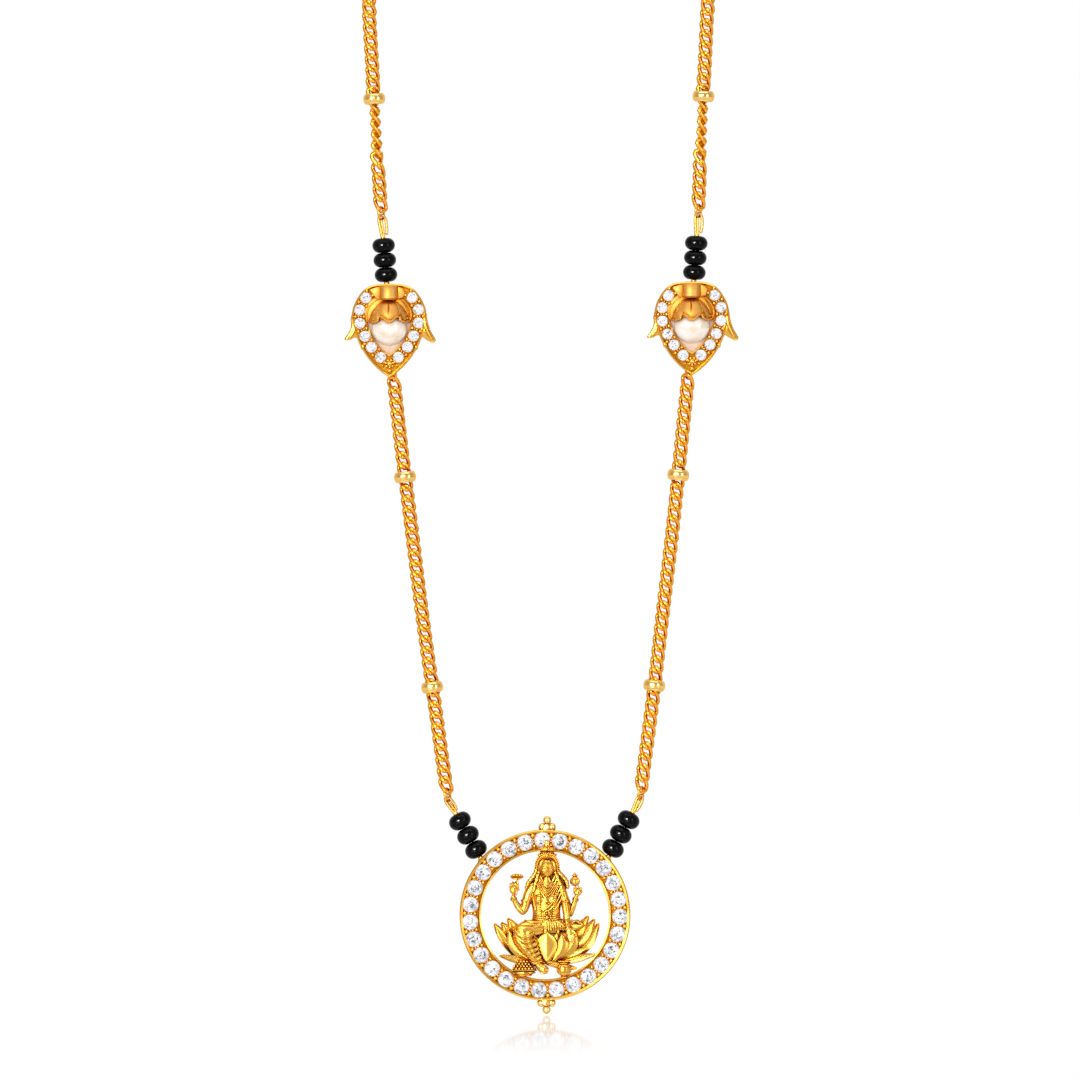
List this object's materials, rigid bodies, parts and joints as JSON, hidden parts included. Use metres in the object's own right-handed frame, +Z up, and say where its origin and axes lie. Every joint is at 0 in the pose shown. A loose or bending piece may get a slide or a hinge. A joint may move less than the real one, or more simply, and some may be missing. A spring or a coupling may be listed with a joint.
{
  "type": "mangalsutra",
  "caption": "Gold-plated curb-chain necklace with black glass beads, pearl and stone lotus-bud stations and a round stone-set pendant of a seated goddess that swings on its pins",
  "frame": {"origin": "middle of the round bar, 48 mm thick, that the closed loop hangs over, in the plane of the two strands", "axes": "+Z up; front with the goddess and the stones towards -Y; +X to the right seen from the front; the two strands hang in the plane Y = 0"},
  "size_m": [0.0504, 0.0051, 0.2261],
  "materials": {
    "gold": "polished yellow gold plate",
    "gold_chain": "polished yellow gold plate on fine links",
    "black_glass": "glossy opaque black glass",
    "clear_stone": "clear cut stone, polished",
    "pearl": "nacre lustre over a bead"
  },
  "bodies": {
    "necklace": {"black_bead_upper_left_1": "black_glass", "black_bead_upper_left_2": "black_glass", "black_bead_upper_left_3": "black_glass", "black_bead_lower_left_1": "black_glass", "black_bead_lower_left_2": "black_glass", "black_bead_lower_left_3": "black_glass", "black_bead_upper_right_1": "black_glass", "black_bead_upper_right_2": "black_glass", "black_bead_upper_right_3": "black_glass", "black_bead_lower_right_1": "black_glass", "black_bead_lower_right_2": "black_glass", "black_bead_lower_right_3": "black_glass", "bead_pin_upper_left": "gold", "bead_pin_lower_left": "gold", "station_left": "gold", "pearl_left": "pearl", "station_stones_left": "clear_stone", "chain_bar_left": "gold_chain", "chain_upper_left": "gold_chain", "chain_lower_left": "gold_chain", "chain_balls_left": "gold", "bead_pin_upper_right": "gold", "bead_pin_lower_right": "gold", "station_right": "gold", "pearl_right": "pearl", "station_stones_right": "clear_stone", "chain_bar_right": "gold_chain", "chain_upper_right": "gold_chain", "chain_lower_right": "gold_chain", "chain_balls_right": "gold", "clasp": "gold"},
    "pendant": {"pendant": "gold", "ring_stone_01": "clear_stone", "ring_stone_02": "clear_stone", "ring_stone_03": "clear_stone", "ring_stone_04": "clear_stone", "ring_stone_05": "clear_stone", "ring_stone_06": "clear_stone", "ring_stone_07": "clear_stone", "ring_stone_08": "clear_stone", "ring_stone_09": "clear_stone", "ring_stone_10": "clear_stone", "ring_stone_11": "clear_stone", "ring_stone_12": "clear_stone", "ring_stone_13": "clear_stone", "ring_stone_14": "clear_stone", "ring_stone_15": "clear_stone", "ring_stone_16": "clear_stone", "ring_stone_17": "clear_stone", "ring_stone_18": "clear_stone", "ring_stone_19": "clear_stone", "ring_stone_20": "clear_stone", "ring_stone_21": "clear_stone", "ring_stone_22": "clear_stone", "ring_stone_23": "clear_stone", "ring_stone_24": "clear_stone", "ring_stone_25": "clear_stone", "ring_stone_26": "clear_stone", "ring_stone_27": "clear_stone"}
  },
  "joints": [
    {"name": "pendant_swing", "type": "hinge", "parent": "necklace", "child": "pendant", "pos_m": [0, 0, -0.18216], "axis": [1, 0, 0], "range_deg": [-15, 25]}
  ]
}
